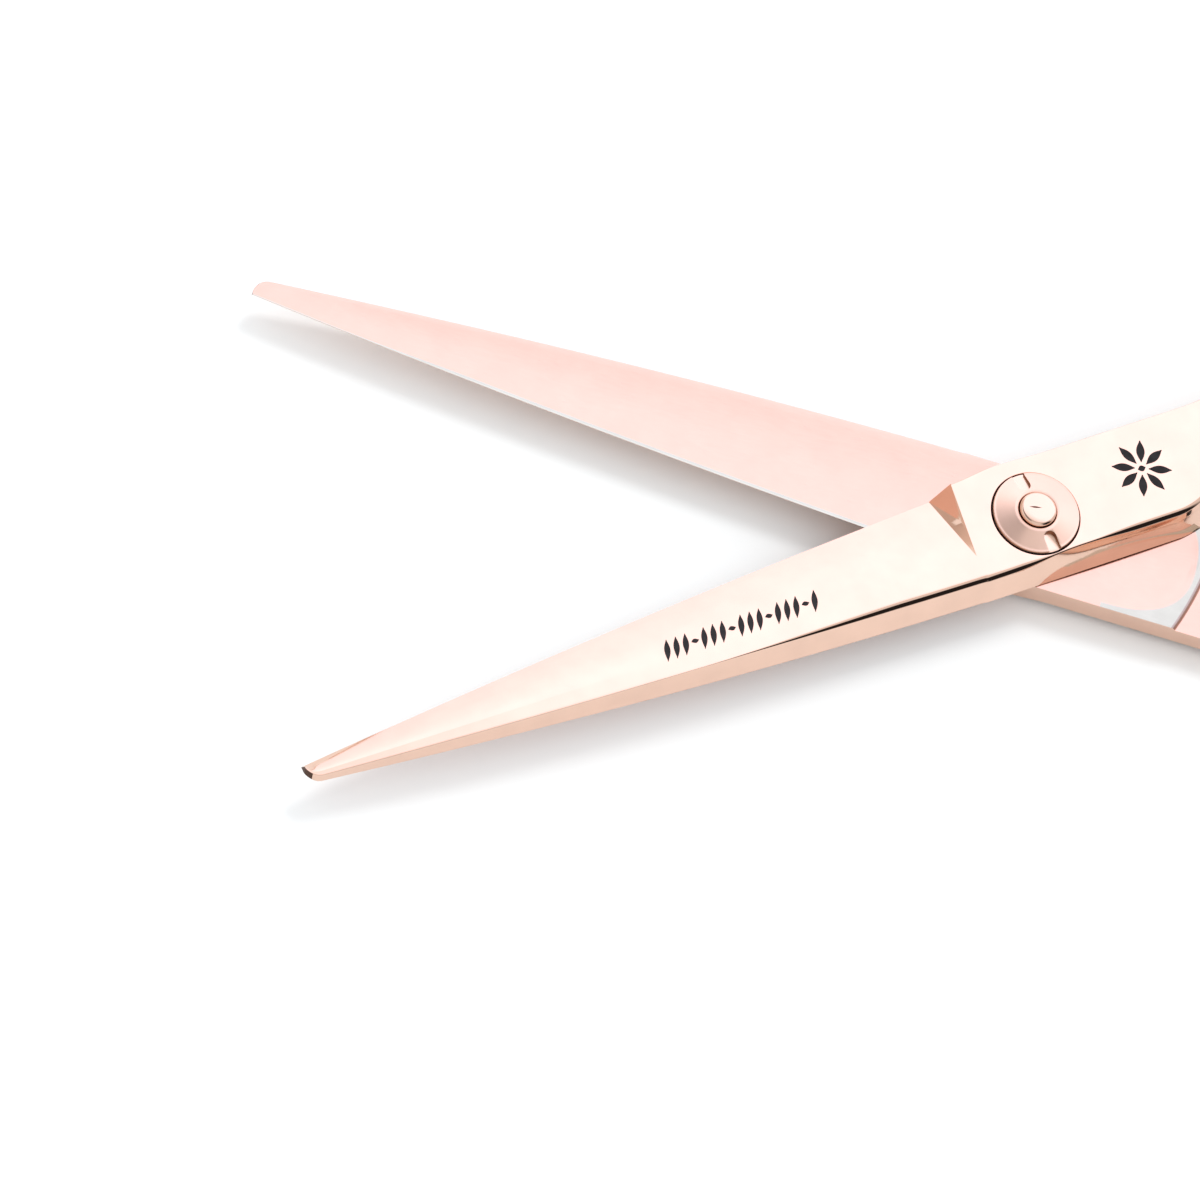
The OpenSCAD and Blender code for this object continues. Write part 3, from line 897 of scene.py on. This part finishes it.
def handle_field(p, ring_x, with_boss):
    """Distance-like field of a handle: flat shank melting into an oval one, and that into the ring."""
    x, y, z = p
    lo, hi = lo_y(x), hi_y(x)
    bevel = shank_bevel(x)
    flat = np.maximum(z - OUTER_Z, GAP + RELIEF - z)
    soften = mix(0.12, 0.7, smooth(24, 29, x))
    flat = smooth_max(flat, y - hi, soften)
    ridge, crease, foot = (0.0, 0.0), (FACET_RUN, BLADE_T - FACET_Z), (BEVEL_RUN, BLADE_T - RELIEF)
    for (y1, z1), (y2, z2) in ((ridge, crease), (crease, foot)):
        ny, nz = z2 - z1, -(y2 - y1)
        size = math.hypot(ny, nz)
        plane = -((y - (lo + bevel - y1)) * ny + (z - (OUTER_Z - z1)) * nz) / size
        flat = smooth_max(flat, plane, soften)
    s = smooth(ring_x - JOIN_START, ring_x - JOIN_END, x)
    half_w, half_h = shank_half_w(x, ring_x), mix(2.9, 2.6, s)
    out_y = np.abs((y - shank_middle(x, ring_x)) / half_w) ** OVAL_POWER
    out_z = np.abs(z / half_h) ** OVAL_POWER
    oval = ((out_y + out_z + 1e-9) ** (1 / OVAL_POWER) - 1) * np.minimum(half_w, half_h)
    shank = np.maximum(mix(flat, oval, smooth(OVAL_START, OVAL_END, x)), x - (ring_x - 3))
    r = np.hypot(x - ring_x, y - FINGER_RING_Y)
    qx = np.abs(r - RING_SEAT_R) - (RING_WALL - RING_CORNER)
    qz = np.abs(z) - (RING_HALF_H - RING_CORNER)
    ring = np.hypot(np.maximum(qx, 0), np.maximum(qz, 0)) + np.minimum(np.maximum(qx, qz), 0) - RING_CORNER
    body = smooth_min(shank, ring, 2.0)
    if with_boss:
        a = math.radians(REST_ANGLE)
        u = (x - ring_x) * math.cos(a) + (y - FINGER_RING_Y) * math.sin(a)
        v = np.hypot(-(x - ring_x) * math.sin(a) + (y - FINGER_RING_Y) * math.cos(a), z)
        body = smooth_min(body, np.maximum(v - BOSS_R, 12 - u), 0.8)
        body = np.maximum(body, u - BOSS_END - 0.8)
    return np.maximum(body, np.abs(z) - RING_HALF_H)


HANDLE_SHARP = 40.0


def solid_from_field(name, field, lo, hi, step, matrix, materials):
    """Mesh of the field's zero surface, its vertices moved exactly onto it."""
    axes = [np.arange(a, b + step, step) for a, b in zip(lo, hi)]
    grid = np.meshgrid(*axes, indexing="ij")
    values = field(grid).astype(np.float32)
    volume = openvdb.FloatGrid(background=3.0)
    volume.copyFromArray(values)
    points, quads = volume.convertToQuads(0.0)
    pts = points.astype(np.float64) * step + np.array([a[0] for a in axes])
    nudge = 1e-3
    for _ in range(3):
        f = field(pts.T)
        slopes = [(field((pts + d).T) - field((pts - d).T)) / (2 * nudge) for d in np.eye(3) * nudge]
        grad = np.stack(slopes, axis=1)
        size = np.maximum((grad ** 2).sum(axis=1), 0.05)
        pts -= np.clip(f / size, -0.2, 0.2)[:, None] * grad
    faces = [tuple(int(k) for k in q) for q in quads]
    return mesh_from(name, [tuple(v) for v in pts], faces, matrix, materials, HANDLE_SHARP)


def rest_matrix():
    """Frame whose +Z runs along the finger rest's stud, away from the middle of the finger ring."""
    return (half_matrix(False) @ Matrix.Translation((FINGER_RING_X, FINGER_RING_Y, 0))
            @ Matrix.Rotation(math.radians(REST_ANGLE), 4, "Z") @ Matrix.Rotation(math.pi / 2, 4, "Y"))


def inner_side(x):
    """Side of the thumb shank that faces the other handle."""
    return float(shank_middle(x, THUMB_RING_X) - shank_half_w(x, THUMB_RING_X))


def bumper_matrix():
    """Frame whose +Z runs along the bumper, out of the thumb shank."""
    slant = math.atan((inner_side(BUMPER_X + 1) - inner_side(BUMPER_X - 1)) / 2)
    return (half_matrix(True) @ Matrix.Translation((BUMPER_X, inner_side(BUMPER_X) - 0.1, 0))
            @ Matrix.Rotation(slant, 4, "Z") @ Matrix.Rotation(math.pi / 2, 4, "X"))


def cylinder(name, r, z_lo, z_hi, matrix):
    return lathe(name, [(0, z_lo), (r, z_lo), (r, z_hi), (0, z_hi)], matrix, (), 96)


def make_handle(thumb):
    """Forged handle from the weld to its ring, with the holes for its insert, bumper or finger rest."""
    ring_x = THUMB_RING_X if thumb else FINGER_RING_X
    name = ("thumb" if thumb else "finger") + "_handle"
    handle = solid_from_field(name + "_forged", lambda p: handle_field(p, ring_x, not thumb),
                              (23.0, -1.5, -4.0), (ring_x + 16.4, FINGER_RING_Y + 15.2, 4.0), FIELD_STEP,
                              half_matrix(thumb), [polished[thumb]])
    at_ring = half_matrix(thumb) @ Matrix.Translation((ring_x, FINGER_RING_Y, 0))
    past_weld = [(10, -15), (WELD_X, -15), (WELD_X, 15), (10, 15)]
    cutters = [cylinder("ring_cut", RING_SEAT_R, -9, 9, at_ring),
               prism("weld_cut", past_weld, -9, 9, half_matrix(thumb))]
    if thumb:
        cutters.append(cylinder("stem_cut", STEM_R, -STEM_IN - 0.1, 5, bumper_matrix()))
    else:
        cutters.append(cylinder("stud_cut", STUD_R + 0.05, STUD_LO - 0.2, 19, rest_matrix()))
        cutters.append(cylinder("boss_cut", 7, BOSS_END, 19, rest_matrix()))
    cut(handle, *cutters)
    shade(handle.data, HANDLE_SHARP)
    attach(handle, ("thumb" if thumb else "finger") + "_half")
    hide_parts(name)


def make_insert(thumb):
    """Soft ring with a lip over each side of its seat."""
    ring_x = THUMB_RING_X if thumb else FINGER_RING_X
    lip_r = 12.3
    profile = rounded([(RING_SEAT_R, 0), (RING_SEAT_R, RING_HALF_H), (lip_r, RING_HALF_H), (lip_r, SHEAR_Z),
                       (BORE_R + 0.8, SHEAR_Z), (BORE_R + 0.25, SHEAR_Z - 0.25), (BORE_R, SHEAR_Z - 0.8),
                       (BORE_R, 0)], 0.13, 3)
    closed = profile[1:] + [(r, -z) for r, z in reversed(profile[1:-1])]
    name = ("thumb" if thumb else "finger") + "_insert"
    at_ring = half_matrix(thumb) @ Matrix.Translation((ring_x, FINGER_RING_Y, 0))
    piece = lathe(name + "_moulded", closed, at_ring, [rubber], 160, 40)
    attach(piece, ("thumb" if thumb else "finger") + "_half")
    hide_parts(name)


def make_bumper():
    """Rubber button whose head stops BUMPER_GAP short of the finger shank when the blades are shut."""
    reach = inner_side(BUMPER_X) - 0.1 + lo_y(BUMPER_X) - BUMPER_GAP
    profile = rounded([(0, -STEM_IN), (STEM_R, -STEM_IN), (STEM_R, 0), (BUMPER_R, 0), (BUMPER_R, reach - 0.9),
                       (BUMPER_R - 0.35, reach - 0.3), (BUMPER_R - 0.95, reach), (0, reach)], 0.25, 5)
    piece = lathe("bumper_moulded", profile, bumper_matrix(), [rubber], 64, 40)
    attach(piece, "thumb_half")
    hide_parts("bumper")


def make_finger_rest():
    """Cast tang: a round base on its stud, then a horn that bends along an arc and ends in a dome."""
    sides = 48
    turns = [2 * math.pi * i / sides for i in range(sides)]

    def horn_r(f):
        return 2.5 - 1.0 * float(smooth(0, 0.55, f)) + 0.9 * float(smooth(0.6, 0.92, f))

    def horn_ring(deg, r, flat):
        a = math.radians(deg)
        lift, out = REST_START + REST_BEND * math.sin(a), REST_BEND * (1 - math.cos(a))
        return [(r * flat * math.sin(t), out + r * math.cos(t) * math.cos(a),
                 lift - r * math.cos(t) * math.sin(a)) for t in turns]

    def base_ring(z, r):
        return [(r * math.sin(t), r * math.cos(t), z) for t in turns]

    rings = [base_ring(REST_BASE + z, r) for z, r in ((0, 2.3), (0.04, 2.42), (0.12, 2.52))]
    rings += [base_ring(REST_BASE + 0.3 * k, 2.6 - 0.1 * float(smooth(0.3, 3.0, 0.3 * k)))
              for k in range(1, 10)]
    rings += [horn_ring(REST_SWEEP * f, horn_r(f), mix(1, 0.8, f)) for f in (i / 72 for i in range(73))]
    rings += [horn_ring(REST_SWEEP + 7 * math.sin(t), horn_r(1) * math.cos(t), 0.8)
              for t in (math.radians(6 * i) for i in range(1, 15))]
    verts = [p for r in rings for p in r]
    faces = loft_faces(sides, len(rings))
    piece = mesh_from("finger_rest_cast", verts, faces, rest_matrix(), [polished[False]], HANDLE_SHARP)
    cut(piece, cylinder("stud_cut", STUD_R, 10, STUD_HI, rest_matrix()))
    shade(piece.data, HANDLE_SHARP)
    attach(piece, "finger_rest")
    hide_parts("finger_rest")


def make_spring_washer():
    """Dished washer, drawn pressed as far as the nut's tight end takes it."""
    profile = [(1.9, 0.17), (1.9, SPRING_H - SPRING_PRESS), (WASHER_R, 0.24), (WASHER_R, 0.0)]
    on_floor = PIVOT @ Matrix.Translation((0, 0, CUP_FLOOR))
    piece = lathe("spring_washer_dished", profile, on_floor, [turned], 96)
    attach(piece, "thumb_half")
    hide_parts("spring_washer")


make_spring_washer()
for is_thumb in (False, True):
    make_handle(is_thumb)
    make_insert(is_thumb)
make_bumper()
make_finger_rest()

for node_name, material in (("pivot_bush", bronze), ("blade_washer", polymer), ("friction_washer", polymer),
                            ("finger_rest_stud", turned), ("finger_rest_washer", polymer)):
    part = frame["nodes"][node_name]
    part.data.materials.clear()
    part.data.materials.append(material)


# ---------------------------------------------------------------- marks on the finger half

def outer_z(x, y):
    """Height of the finger half's outer face."""
    if x > HEEL_X:
        return OUTER_Z
    ye, ys = edge_y(x), spine_y(x)
    y0 = mix(ys + bevel_w(x), ye, 0.24)
    return grind_z(clamp01((y - y0) / (ye - y0)), blade_thick(x)) + GAP


LEAF_N = 12


def mark(name, leaves, matrix, node_name="upper_blade", height=outer_z, material=dark_mark):
    """Thin solids that follow a face, one for each leaf: middle, length, width and angle."""
    verts, faces = [], []
    for cx, cy, length, width, deg in leaves:
        a = math.radians(deg)
        start = len(verts)
        for k in range(LEAF_N + 1):
            t = k / LEAF_N
            half = width / 2 * math.sin(math.pi * min(max(t, 0.03), 0.97))
            for side, lift in ((-half, -0.06), (half, -0.06), (half, 0.012), (0, 0.012), (-half, 0.012)):
                x = cx + (t - 0.5) * length * math.cos(a) - side * math.sin(a)
                y = cy + (t - 0.5) * length * math.sin(a) + side * math.cos(a)
                verts.append((x, y, height(x, y) + lift))
        faces += [tuple(start + v for v in f) for f in loft_faces(5, LEAF_N + 1)]
    piece = mesh_from(name, verts, faces, matrix, [material], 60)
    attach(piece, "finger_half" if node_name == "upper_blade" else "thumb_half")
    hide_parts(node_name)


# Where the row of leaves starts, and the middle of the rosette and of its petals
ROW_X, ROW_Y, ROW_STEP = -38.2, -1.15, 0.93
STAR_X, STAR_Y, STAR_R = 11.6, 0.95, 1.75

mark("blade_ornament", [(ROW_X + ROW_STEP * k, ROW_Y, 0.75, 0.5, 0) if k % 4 == 3 else
                        (ROW_X + ROW_STEP * k, ROW_Y, 2.5, 0.55, 66) for k in range(17)], half_matrix(False))
petals = [(STAR_X + STAR_R * math.cos(a), STAR_Y + STAR_R * math.sin(a), 2.2, 0.8, math.degrees(a))
          for a in (math.radians(22.5 + 45 * k) for k in range(8))]
mark("shank_ornament", petals + [(STAR_X, STAR_Y, 0.8, 0.6, 0)], half_matrix(False))
mark("stud_tick", [(-0.3, 0.1, 1.1, 0.16, -6)], PIVOT, "pivot_stud", lambda x, y: STUD_TOP - 0.03, painted_shade_and_mark)


# ---------------------------------------------------------------- camera, light and floor

def aim_camera():
    """Long lens looking down on the blades from 59 degrees above the table."""
    right = Vector((0.9577, -0.1285, 0.2575)).normalized()
    back = Vector((-0.2878, -0.4271, 0.8572)).normalized()
    up = back.cross(right).normalized()
    right = up.cross(back).normalized()
    distance, lens, sensor = 0.8, 264.0, 36.0
    offset = (0.3564, 0.0603)
    forward = -back
    wanted = (-back * (lens / sensor) - right * offset[0] - up * offset[1]).normalized()
    turn = forward.rotation_difference(wanted)
    axes = Matrix((turn @ right, turn @ up, -(turn @ forward))).transposed().to_4x4()
    camera = bpy.data.cameras.new("camera")
    camera.lens, camera.sensor_width, camera.sensor_fit = lens, sensor, "HORIZONTAL"
    camera.clip_start, camera.clip_end = 0.01, 50
    obj = bpy.data.objects.new("camera", camera)
    bpy.context.scene.collection.objects.link(obj)
    obj.matrix_world = Matrix.Translation(back * distance + Vector((0, 0, SHEAR_Z * MM))) @ axes
    bpy.context.scene.camera = obj


def make_floor():
    """White paper, a hair below the part so that the two never share a face."""
    size = 6.0
    corners = [(-size, -size, 0), (size, -size, 0), (size, size, 0), (-size, size, 0)]
    mesh = bpy.data.meshes.new("floor")
    mesh.from_pydata(corners, [], [(0, 1, 2, 3)])
    floor = add_object("floor", mesh)
    mat, _, shader = new_material("floor_paper")
    shader.inputs["Base Color"].default_value = (0.866, 0.891, 0.9, 1)
    shader.inputs["Roughness"].default_value = 0.9
    shader.inputs["Specular IOR Level"].default_value = 0.0
    mesh.materials.append(mat)
    floor.location.z = -0.00002


def make_world():
    """Studio in azimuth and elevation: a pale dome, a soft box, a dim side with a glow in it, and a dark flag
    that only the first reflection sees. The camera and matt surfaces see an even white room."""
    world = bpy.data.worlds.new("studio")
    bpy.context.scene.world = world
    world.use_nodes = True
    tree = world.node_tree
    background = tree.nodes["Background"]
    coord = node(tree, "ShaderNodeTexCoord")
    split = node(tree, "ShaderNodeSeparateXYZ", [(coord.outputs["Generated"], "Vector")])
    x, y, z = split.outputs
    azimuth = math_node(tree, "ARCTAN2", y, x)
    elevation = math_node(tree, "ARCSINE", z)

    def angle_from(centre):
        """Distance in azimuth from centre, which is in degrees, either way round."""
        d = math_node(tree, "SUBTRACT", azimuth, math.radians(centre))
        return math_node(tree, "ABSOLUTE", math_node(tree, "WRAP", d, -math.pi, math.pi))

    def below(value, lo_deg, hi_deg):
        """1 where value is under lo_deg, 0 where it is over hi_deg."""
        return map_range(tree, value, math.radians(lo_deg), math.radians(hi_deg), 1.0, 0.0, "SMOOTHSTEP")

    def above(value, lo_deg, hi_deg):
        return math_node(tree, "SUBTRACT", 1.0, below(value, lo_deg, hi_deg))

    def times(a, b):
        return math_node(tree, "MULTIPLY", a, b)

    def lift(a, by, base):
        return math_node(tree, "MULTIPLY_ADD", a, by, base)

    dome = lift(above(elevation, -5, 30), 0.33, 0.62)
    dome = lift(above(elevation, 62, 76), -0.17, dome)
    dim_west = times(below(angle_from(165), 60, 78), above(elevation, 48, 58))
    dome = times(dome, lift(dim_west, -0.72, 1.0))
    glow_height = times(below(elevation, 50, 58), above(elevation, 24, 36))
    dome = lift(times(below(angle_from(150), 22, 40), glow_height), 0.15, dome)
    soft_box = times(below(angle_from(60), 38, 58), below(elevation, 63, 74))
    bright = lift(soft_box, 0.82, dome)
    path = node(tree, "ShaderNodeLightPath")
    again = math_node(tree, "GREATER_THAN", path.outputs["Ray Depth"], 2.5)
    once = math_node(tree, "SUBTRACT", 1.0, again)
    flag = times(below(angle_from(319), 14, 26), times(below(elevation, 50, 57), above(elevation, 3, 9)))
    lit = times(bright, lift(times(flag, once), -0.98, 1.0))
    level = math_node(tree, "ADD", times(lit, once), times(math_node(tree, "MAXIMUM", lit, 1.1), again))
    warm = times(below(angle_from(175), 60, 90), below(elevation, 20, 40))
    tint = node(tree, "ShaderNodeCombineXYZ")
    tree.links.new(level, tint.inputs[0])
    tree.links.new(times(level, lift(warm, -0.14, 1.0)), tint.inputs[1])
    blue = math_node(tree, "ADD", lift(warm, -0.23, 1.0), times(soft_box, 0.15))
    tree.links.new(times(level, blue), tint.inputs[2])
    plain = math_node(tree, "MAXIMUM", path.outputs["Is Camera Ray"], path.outputs["Is Diffuse Ray"])
    shown = node(tree, "ShaderNodeMix", data_type="VECTOR")
    tree.links.new(plain, shown.inputs[0])
    tree.links.new(tint.outputs[0], shown.inputs[4])
    shown.inputs[5].default_value = (1.1, 1.1, 1.1)
    tree.links.new(shown.outputs[1], background.inputs["Color"])


def make_key():
    """Round key light behind the part, which throws its shadow towards the viewer."""
    light = bpy.data.lights.new("key", "AREA")
    light.shape, light.size = "DISK", 0.35
    light.energy = 3.2
    obj = bpy.data.objects.new("key", light)
    bpy.context.scene.collection.objects.link(obj)
    place = Vector((0.25, 0.55, 0.95))
    obj.location = place
    obj.rotation_mode = "QUATERNION"
    obj.rotation_quaternion = (-place).to_track_quat("-Z", "Y")
    obj.visible_camera = False
    obj.visible_glossy = False


aim_camera()
make_floor()
make_world()
make_key()
bpy.context.scene.view_settings.view_transform = "Standard"
